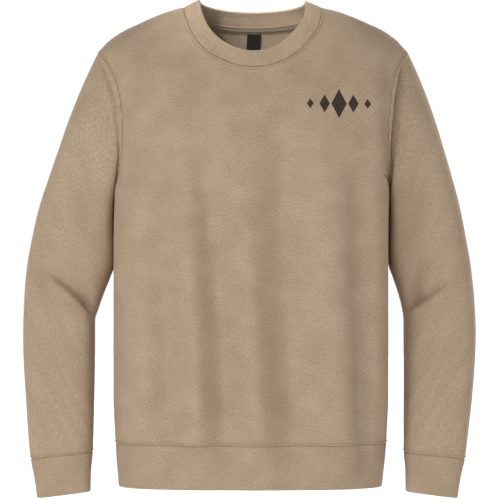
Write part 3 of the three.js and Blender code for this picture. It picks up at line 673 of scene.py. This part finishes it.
def wallMesh(name, outer, inner, cloth, closed, flip, fold=None):  # a closed shell between two grids
    count, around = outer.shape[:2]
    spans = around if closed else around - 1
    face = np.arange(count * around).reshape(count, around)
    lining = face + count * around
    if fold:  # the two grids share their points on a fold
        end = 0 if fold == "low" else count - 1
        lining[end] = face[end]
        outer, inner = outer.copy(), inner.copy()
        outer[end] = inner[end] = (outer[end] + inner[end]) / 2
    faces, maps = [], []

    def quads(*corners):  # each corner is a side's point numbers, a row and a column
        faces.append(np.stack([ids[row, column % around] for ids, row, column in corners], -1))
        maps.append(np.stack([cloth[row, column] for _, row, column in corners], 1))

    r, c = (v.reshape(-1) for v in np.meshgrid(np.arange(count - 1), np.arange(spans), indexing="ij"))
    quads((face, r, c), (face, r, c + 1), (face, r + 1, c + 1), (face, r + 1, c))
    quads((lining, r, c), (lining, r + 1, c), (lining, r + 1, c + 1), (lining, r, c + 1))
    c = np.arange(spans)
    if fold != "low":
        quads((face, 0, c + 1), (face, 0, c), (lining, 0, c), (lining, 0, c + 1))
    if fold != "high":
        quads((face, -1, c), (face, -1, c + 1), (lining, -1, c + 1), (lining, -1, c))
    if not closed:
        r = np.arange(count - 1)
        quads((face, r, 0), (face, r + 1, 0), (lining, r + 1, 0), (lining, r, 0))
        quads((face, r + 1, -1), (face, r, -1), (lining, r, -1), (lining, r + 1, -1))
    groups = np.zeros(sum(map(len, faces)), int)
    groups[len(faces[0]) : len(faces[0]) + len(faces[1])] = 1
    faces, maps = np.concatenate(faces), np.concatenate(maps)
    points = np.concatenate([outer.reshape(-1, 3), inner.reshape(-1, 3)])
    if flip:
        faces, maps = faces[:, ::-1], maps[:, ::-1]
    used = np.unique(faces)
    renumber = np.zeros(len(points), int)
    renumber[used] = np.arange(len(used))
    return meshOf(name, points[used], renumber[faces], maps, groups)


# Materials
class Value:  # a number or colour that varies over the surface
    def __init__(self, finish, socket):
        self.finish = finish
        self.socket = socket

    def maths(self, operation, first, second):
        return self.finish.node("ShaderNodeMath", {"operation": operation}, {0: first, 1: second})

    def __add__(self, other):
        return self.maths("ADD", self, other)

    __radd__ = __add__

    def __sub__(self, other):
        return self.maths("SUBTRACT", self, other)

    def __rsub__(self, other):
        return self.maths("SUBTRACT", other, self)

    def __mul__(self, other):
        return self.maths("MULTIPLY", self, other)

    __rmul__ = __mul__

    def __abs__(self):
        return self.maths("ABSOLUTE", self, 0)

    def sine(self):
        return self.maths("SINE", self, 0)

    def atLeast(self, other):
        return self.maths("MAXIMUM", self, other)

    def below(self, other):
        return self.maths("LESS_THAN", self, other)


class Finish:
    def __init__(self, name, shade):
        self.material = bpy.data.materials.new(name)
        self.material.use_nodes = True
        self.tree = self.material.node_tree
        self.tree.nodes.clear()
        self.shader = self.tree.nodes.new("ShaderNodeBsdfPrincipled")
        output = self.tree.nodes.new("ShaderNodeOutputMaterial")
        self.tree.links.new(self.shader.outputs[0], output.inputs[0])
        for socket, value in shade.items():
            self.give(self.shader.inputs[socket], value)

    def give(self, socket, value):
        if isinstance(value, Value):
            self.tree.links.new(value.socket, socket)
        else:
            socket.default_value = value

    def node(self, kind, settings, inputs, output=0):
        made = self.tree.nodes.new(kind)
        for name, value in settings.items():
            if name == "stops":
                for stop, (place, grey) in zip(made.color_ramp.elements, value):
                    stop.position, stop.color = place, (grey, grey, grey, 1)
            else:
                setattr(made, name, value)
        for socket, value in inputs.items():
            self.give(made.inputs[socket], value)
        return Value(self, made.outputs[output])

    def shows(self, **inputs):
        sockets = {"colour": "Base Color", "roughness": "Roughness", "normal": "Normal"}
        for name, value in inputs.items():
            self.give(self.shader.inputs[sockets[name]], value)
        return self.material

    def noise(self, place, scale, detail=2.0, rough=0.5):
        inputs = {"Vector": place, "Scale": scale, "Detail": detail, "Roughness": rough}
        return self.node("ShaderNodeTexNoise", {}, inputs)

    def stretched(self, place, scale):
        return self.node("ShaderNodeVectorMath", {"operation": "MULTIPLY"}, {0: place, 1: scale})

    def ramp(self, value, *stops):
        return self.node("ShaderNodeValToRGB", {"stops": stops}, {"Fac": value})

    def between(self, first, second, share):
        return self.node("ShaderNodeMix", {"data_type": "RGBA"}, {"Factor": share, 6: first, 7: second}, 2)

    def bump(self, height, distance, strength=1.0, normal=None):
        inputs = {"Height": height, "Distance": distance, "Strength": strength}
        if normal is not None:
            inputs["Normal"] = normal
        return self.node("ShaderNodeBump", {}, inputs)


def colour(red, green, blue):  # from the usual 0 to 255
    parts = [part / 255 for part in (red, green, blue)]
    return [part / 12.92 if part <= 0.04045 else ((part + 0.055) / 1.055) ** 2.4 for part in parts] + [1]


def clothPlace(finish):
    return finish.node("ShaderNodeUVMap", {"uv_map": "cloth"}, {})


def parts(finish, place, *axes):
    return [finish.node("ShaderNodeSeparateXYZ", {}, {0: place}, axis) for axis in axes]


fleeceLook = {
    "colour": (171, 149, 125), "darker": (150, 128, 104), "lighter": (190, 169, 145),
    "fibre": 1500, "melange": 640, "cloudy": 26,  # scales of the colour's unevenness
    "parts": (0.55, 0.3, 0.15), "spread": (0.38, 0.62),  # what melange, fibre and cloud count, and its ends
    "wale": 0.00125, "course": 0.0009,  # width and height of a stitch
    "nap": 0.7, "lumps": 150,  # the nap's scale as a share of the fibre's, and the lumps' own
    "roughness": 0.92, "sheen": 0.35, "sheenSpread": 0.45, "sheenTint": (214, 196, 176), "gloss": 0.18,
}


def knitFinish(name, look):
    return Finish(name, {
        "Roughness": look["roughness"], "Sheen Weight": look["sheen"], "Sheen Roughness": look["sheenSpread"],
        "Sheen Tint": colour(*look["sheenTint"]), "Specular IOR Level": look["gloss"],
    })


def knitColour(finish, place, look, streaked):
    melange = finish.noise(finish.stretched(place, (1, streaked, 1)), look["melange"], 3, 0.65)
    fibre = finish.noise(place, look["fibre"], 2, 0.6)
    cloudy = finish.noise(place, look["cloudy"], 2)
    byMelange, byFibre, byCloud = look["parts"]
    low, high = look["spread"]
    share = finish.ramp(melange * byMelange + fibre * byFibre + cloudy * byCloud, (low, 0), (high, 1))
    darker, middle, lighter = (colour(*look[name]) for name in ("darker", "colour", "lighter"))
    lower = finish.between(darker, middle, finish.ramp(share, (0, 0), (0.5, 1)))
    return finish.between(lower, lighter, finish.ramp(share, (0.5, 0), (1, 1)))


# A row of lozenges printed on the chest: the middle one's place in metres, how uneven the ink's edge is,
# and each one's step from the middle and half width and height in millimetres
ornament = {
    "x": 0.1235, "z": -0.1445, "apart": 0.0205, "ink": (30, 20, 16), "edge": (900, 0.12),
    "lozenges": ((-2, 5, 7), (-1, 7.5, 13), (0, 11, 21), (1, 7.5, 13), (2, 5, 7)),
}


def ornamentMask(finish):
    place = finish.node("ShaderNodeTexCoord", {}, {}, 3)
    x, z = parts(finish, place, 0, 2)
    grain, unevenBy = ornament["edge"]
    rough = (finish.noise(place, grain, 2) - 0.5) * unevenBy
    inside = None
    for step, wide, high in ornament["lozenges"]:
        across = abs(x - (ornament["x"] + step * ornament["apart"])) * (1 / (wide * mm))
        up = abs(z - ornament["z"]) * (1 / (high * mm))
        lozenge = (across + up + rough).below(1)
        inside = lozenge if inside is None else inside.atLeast(lozenge)
    return inside


def fleeceFinish(printed=False):
    look = fleeceLook
    finish = knitFinish("fleece_printed" if printed else "fleece", look)
    place = clothPlace(finish)
    across, along = parts(finish, place, 0, 1)
    slant = abs((across * (pi / look["wale"])).sine())
    wales = slant * 0.6 + abs((along * (pi / look["course"]) + slant * 1.6).sine()) * 0.4
    nap = finish.noise(place, look["fibre"] * look["nap"], 3, 0.7)
    normal = finish.bump(wales * 0.5 + nap * 0.9, 0.00035, 0.6)
    lumps = finish.noise(place, look["lumps"], 3, 0.55)
    knit = knitColour(finish, place, look, 0.6)
    roughness = finish.ramp(nap, (0.2, 0.86), (0.8, 0.98))
    if printed:
        mask = ornamentMask(finish)
        ink = finish.between(colour(*ornament["ink"]), knit, finish.ramp(nap, (0.35, 0.02), (0.9, 0.2)))
        knit = finish.between(knit, ink, mask)
        roughness = roughness - mask * 0.25
    return finish.shows(colour=knit, roughness=roughness, normal=finish.bump(lumps, 0.0006, 0.35, normal))


def brushedFinish():  # the fleece's inside
    look = {**fleeceLook, "colour": (174, 153, 128), "darker": (156, 135, 110), "lighter": (190, 170, 145)}
    finish = Finish("fleece_inside", {
        "Roughness": 1, "Sheen Weight": 0.45, "Sheen Roughness": 0.55, "Specular IOR Level": 0.1,
    })
    place = clothPlace(finish)
    tufts = finish.noise(place, 520, 4, 0.7)
    return finish.shows(colour=knitColour(finish, place, look, 1), normal=finish.bump(tufts, 0.0009, 0.6))


ribLook = {**fleeceLook, "rib": 0.0022, "course": 0.0011, "roughness": 0.94, "sheen": 0.3}
# The neckband's inside: the rib's colours painted lighter, as painted light inside the neck
ribInsidePaintedLight = {**ribLook, "colour": (189, 167, 142), "darker": (169, 147, 122), "lighter": (206, 185, 160)}
neckJoin = {"across": 0.042, "half": 0.0007}  # where the neckband's ends meet, on the right shoulder's back


def ribFinish(name="rib", look=ribLook, joined=False):
    finish = knitFinish(name, look)
    place = clothPlace(finish)
    across, along = parts(finish, place, 0, 1)
    ribs = (across * (2 * pi / look["rib"])).sine() * 0.5 + 0.5
    stitches = abs((along * (pi / look["course"])).sine())
    nap = finish.noise(place, look["fibre"] * look["nap"], 3, 0.7)
    height = finish.ramp(ribs, (0.15, 0), (0.85, 1)) * 0.8 + stitches * 0.2 + nap * 0.5
    knit = knitColour(finish, place, look, 0.6)
    # Painted shade: the furrows between the ribs are painted darker
    furrowShade = finish.ramp(ribs, (0.05, 0.18), (0.5, 0))
    if joined:
        line = finish.ramp(abs(across - neckJoin["across"]) * (0.5 / neckJoin["half"]), (0.2, 1), (0.8, 0))
        height = height - line * 3
        # the join's groove is painted darker as well: painted shade
        furrowShade = furrowShade.atLeast(line * 0.9)
    return finish.shows(
        colour=finish.between(knit, colour(*look["darker"]), furrowShade),
        normal=finish.bump(height, 0.0004, 0.7),
    )


def tapeFinish():  # a fine twill
    look = {**ribLook, "colour": (178, 158, 136), "darker": (168, 148, 126), "lighter": (190, 171, 149)}
    finish = Finish("tape", {
        "Roughness": 0.85, "Sheen Weight": 0.25, "Sheen Roughness": 0.4, "Specular IOR Level": 0.25,
    })
    place = clothPlace(finish)
    across, along = parts(finish, place, 0, 1)
    twill = ((across + along) * (2 * pi / 0.0011)).sine() * 0.5 + 0.5
    return finish.shows(colour=knitColour(finish, place, look, 1), normal=finish.bump(twill, 0.0002, 0.6))


def labelFinish():  # woven satin, left blank
    finish = Finish("label", {"Roughness": 0.55, "Sheen Weight": 0.1, "Specular IOR Level": 0.35})
    place = clothPlace(finish)
    across, along = parts(finish, place, 0, 1)
    picks = (along * (2 * pi / 0.0005)).sine() * 0.5 + 0.5
    ends = (across * (2 * pi / 0.0004)).sine() * 0.5 + 0.5
    woven = picks * 0.7 + ends * 0.3
    return finish.shows(
        colour=finish.between(colour(40, 31, 26), colour(54, 43, 36), woven),
        roughness=finish.ramp(woven, (0, 0.48), (1, 0.62)),
        normal=finish.bump(woven, 0.0001, 0.5),
    )


def threadFinish():
    finish = Finish("thread", {"Roughness": 0.6, "Sheen Weight": 0.15, "Specular IOR Level": 0.3})
    place = finish.node("ShaderNodeTexCoord", {}, {}, 3)
    shade = finish.noise(place, 700, 2)
    return finish.shows(
        colour=finish.between(colour(158, 136, 112), colour(180, 159, 135), shade),
        roughness=finish.ramp(shade, (0.2, 0.5), (0.8, 0.7)),
    )


fleece, brushed, rib = fleeceFinish(), brushedFinish(), ribFinish()
finishes = {"fleece": (fleece, brushed), "rib": (rib, rib)}
# the neckband's inner face has the rib painted lighter: painted light
ownFinishes = {"front_panel": (fleeceFinish(True), brushed), "neckband": (
    ribFinish("rib_joined", ribLook, True), ribFinish("rib_inside_painted_light", ribInsidePaintedLight, True),
)}


def dressed(made, name, materials):
    for material in materials:
        made.data.materials.append(material)
    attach(made, "root")
    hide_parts(name)
    print("made", name, len(made.data.polygons) * 2, "triangles")
    return made


for name, piece in pieces.items():
    outer, inner = sewnWall(name, piece)
    piece["outer"], piece["inner"] = outer, inner
    cloth = clothMap(piece["grid"], piece["closed"])
    made = wallMesh(name + "_cloth", outer, inner, cloth, piece["closed"], piece["flip"], piece.get("fold"))
    piece["object"] = dressed(made, name, ownFinishes.get(name, finishes[piece["cloth"]]))

# The tape and the label inside the back: from and to which of the panel's columns they reach, and which of
# its rows down from the neck edge, with how many of each
castFrom = 20  # distance outside the back from which its inside is looked for
patches = {
    "neck_tape": {"columns": (-7, 7, 71), "rows": (1.33, 0.1, 13), "lift": 0.3, "thick": wall["tape"]},
    "neck_label": {
        "columns": (-0.43, 0.5, 13), "rows": (3.9, 1.5, 29), "lift": 0.3, "thick": wall["label"],
    },
}
backInside = surfaceTree(pieces["back_panel"]["inner"], False)
for name, patch in patches.items():
    levels = fineness["bodyRows"] + fineness["armholeRows"] - np.linspace(*patch["rows"])
    grid = panelGrid(back, levels, np.linspace(*patch["columns"]))
    normals = gridNormals(grid, False, True)
    for place in np.ndindex(grid.shape[:2]):
        inside = Vector(grid[place] - castFrom * normals[place])
        grid[place] = backInside.ray_cast(inside, Vector(normals[place]))[0]
    outer = grid - normals * patch["lift"]
    inner = outer - normals * patch["thick"]
    made = wallMesh(name + "_cloth", outer, inner, clothMap(grid, False), False, True)
    finish = tapeFinish() if name == "neck_tape" else labelFinish()
    patch["inner"], patch["object"] = inner, dressed(made, name, (finish, finish))

# Stitches, each a short soft bow of thread: along the welted seams, and round the tape and the label's top
stitching = {
    "apart": 3.2, "long": 2.5, "thick": 0.34, "rise": 0.14, "sunk": 0.1, "seed": 11,
    "offset": seamForm["stitched"][1], "skew": 0.05, "closerOnPatches": 0.8,
}
# Each ring's place along the stitch, and its share of the thickness
threadRings = ((-1, 0.4), (-0.72, 0.85), (0, 1), (0.72, 0.85), (1, 0.4))
threadSides = 6
chance = np.random.default_rng(stitching["seed"])


def spaced(path, apart):  # evenly spaced places along a path
    place = np.append(0, np.cumsum(np.linalg.norm(np.diff(path[:, :3], axis=0), axis=1)))
    count = max(2, round(place[-1] / apart))
    wanted = (np.arange(count) + 0.5) * place[-1] / count
    return np.stack([np.interp(wanted, place, column) for column in path.T], -1)


def stitchMesh(centres, normals):  # points and faces of the stitches along one line
    along = unit(np.gradient(centres, axis=0))
    side = unit(np.cross(normals, along))
    along = unit(along + side * chance.normal(0, stitching["skew"], (len(centres), 1)))
    turn = 2 * pi * np.arange(threadSides) / threadSides
    points = []
    for place, share in threadRings:
        middle = centres + along * place * stitching["long"] / 2
        middle = middle + normals * (stitching["rise"] * (1 - place ** 2) - stitching["sunk"])
        for angle in turn:
            radius = share * stitching["thick"]
            points.append(middle + (side * math.cos(angle) + normals * math.sin(angle)) * radius)
    points = np.stack(points, 1).reshape(-1, 3)
    faces, last = [], (len(threadRings) - 1) * threadSides
    for ring in range(len(threadRings) - 1):
        for k in range(threadSides):
            a, b = ring * threadSides + k, ring * threadSides + (k + 1) % threadSides
            faces.append((a, a + threadSides, b + threadSides, b))
    faces += [(0, 1, 2, 3), (0, 3, 4, 5)]
    faces += [(last + 3, last + 2, last + 1, last), (last + 5, last + 4, last + 3, last)]
    perStitch = len(threadRings) * threadSides
    starts = np.arange(len(centres))[:, None, None] * perStitch
    return points, (np.array(faces)[None] + starts).reshape(-1, 4)


lines = []
for name, piece in pieces.items():
    surface = surfaceTree(piece["outer"], piece["closed"])
    nearest = treeOf(piece["grid"].reshape(-1, 3))
    shift = (piece["outer"] - piece["grid"]).reshape(-1, 3)
    for seamName in sorted(piece["welted"]):
        edge = piece["edges"][seamName]
        path = edge[:, :3] + unit(edge[:, 6:9]) * stitching["offset"]
        wanted = spaced(np.hstack([path, edge[:, 3:6]]), stitching["apart"])
        centres, normals = [], []
        for row in wanted:
            start = row[:3] + shift[nearest.find(row[:3])[1]]
            found, normal, _, _ = surface.find_nearest(Vector(start))
            centres.append(found)
            normals.append(normal if normal.dot(Vector(row[3:])) > 0 else -normal)
        lines.append(stitchMesh(np.array(centres), np.array(normals)))
for name, edges in (("neck_tape", (1, -2)), ("neck_label", (-2,))):
    inside = patches[name]["inner"]
    normals = -gridNormals(inside, False, True)
    for row in edges:
        apart = stitching["apart"] * stitching["closerOnPatches"]
        path = spaced(np.hstack([inside[row], normals[row]]), apart)
        lines.append(stitchMesh(path[:, :3], unit(path[:, 3:])))
starts = np.cumsum([0] + [len(points) for points, _ in lines[:-1]])
stitches = meshOf(
    "stitches", np.concatenate([points for points, _ in lines]),
    np.concatenate([faces + start for (_, faces), start in zip(lines, starts)]),
)
stitches.data.materials.append(threadFinish())
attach(stitches, "root")
print("stitches:", len(stitches.data.polygons) * 2, "triangles")

# Each cloth's cut, of what shows: its greatest width and length, and its area, in metres
cuts = {
    "front_panel": (0.555, 0.675, 0.303, "draped"),
    "back_panel": (0.555, 0.673, 0.301, "draped"),
    "sleeve_left": (0.527, 0.612, 0.189, "draped"),
    "sleeve_right": (0.52, 0.609, 0.185, "draped"),
    "cuff_left": (0.272, 0.059, 0.0142, "stretched"),
    "cuff_right": (0.27, 0.059, 0.0141, "stretched"),
    "waistband": (1.026, 0.063, 0.0639, "stretched"),
    "neckband": (0.649, 0.027, 0.0148, "stretched"),
    "neck_tape": (0.236, 0.0133, 0.00161, "laid"),
    "neck_label": (0.021, 0.046, 0.000943, "laid"),
}
for name, (width, length, area, held) in cuts.items():
    made = (pieces.get(name) or patches[name])["object"]

# Camera at the photograph's place: level, 4.6 m in front
view = {"distance": 4.6, "x": -0.0029, "z": -0.35235, "across": 0.725, "sensor": 36}
lens = bpy.data.cameras.new("view")
lens.sensor_width = view["sensor"]
lens.lens = view["sensor"] * view["distance"] / view["across"]
camera = placed("view", lens)
camera.location = (view["x"], -view["distance"], view["z"])
camera.rotation_euler = (pi / 2, 0, 0)
bpy.context.scene.camera = camera
bpy.context.scene.view_settings.view_transform = "Standard"

studio = {"floor": -1.5, "size": 60, "sky": 0.29, "glow": 0.14, "white": 0.95}
middle = (0, 0, -0.35)  # of the garment
lights = {  # place, size and power, and what it is aimed at
    "key": ((-3.2, -2.9, -0.85), 1.5, 63, middle),
    "high": ((-0.8, -4.0, -0.1), 1.3, 40, middle),
    "fill": ((3.4, -2.6, -0.6), 2.0, 32, middle),
    "neck": ((-0.85, -1.2, 1.3), 0.12, 450, (0.03, 0.09, -0.02)),
    "top": ((-0.2, -0.9, 3.0), 2.5, 15, (0, 0, -0.1)),
    "rear": ((2.9, 3.3, 0.1), 1.6, 82, middle),
    "rearFill": ((-3.3, 2.9, -0.3), 2.0, 34, middle),
}
spot = {"angle": 5.5, "blend": 0.7}  # of the lamp for the inside of the neck
for name, (place, size, power, target) in lights.items():
    data = bpy.data.lights.new(name, "SPOT" if name == "neck" else "AREA")
    data.energy = power
    if name == "neck":
        data.shadow_soft_size = size
        data.spot_size = math.radians(spot["angle"])
        data.spot_blend = spot["blend"]
    else:
        data.size = size
    lamp = placed(name, data)
    lamp.location = place
    lamp.rotation_euler = (Vector(target) - Vector(place)).to_track_quat("-Z", "Y").to_euler()
world = bpy.data.worlds.new("studio")
world.use_nodes = True
background = world.node_tree.nodes["Background"]
background.inputs["Color"].default_value = (1, 1, 1, 1)
seen = world.node_tree.nodes.new("ShaderNodeLightPath")
strength = world.node_tree.nodes.new("ShaderNodeMapRange")  # the backdrop is white, and lights softly
strength.inputs["To Min"].default_value = studio["sky"]
world.node_tree.links.new(seen.outputs["Is Camera Ray"], strength.inputs["Value"])
world.node_tree.links.new(strength.outputs["Result"], background.inputs["Strength"])
bpy.context.scene.world = world

half, level = studio["size"] / 2 / mm, studio["floor"] / mm
corners = np.array([(-half, -half, level), (half, -half, level), (half, half, level), (-half, half, level)])
floor = meshOf("floor", corners, np.array([[0, 1, 2, 3]]))
floorFinish = Finish("floor", {"Roughness": 0.8, "Emission Strength": 1})
floorGrain = floorFinish.noise(floorFinish.node("ShaderNodeTexCoord", {}, {}, 3), 3)
floorColour = floorFinish.between((0.86, 0.86, 0.86, 1), (0.9, 0.9, 0.9, 1), floorGrain)
direct = floorFinish.node("ShaderNodeLightPath", {}, {})
glow, white = ([studio[name]] * 3 + [1] for name in ("glow", "white"))  # looks white, but lights less
floorFinish.give(floorFinish.shader.inputs["Emission Color"], floorFinish.between(glow, white, direct))
floor.data.materials.append(floorFinish.shows(colour=floorColour))
print("studio set")
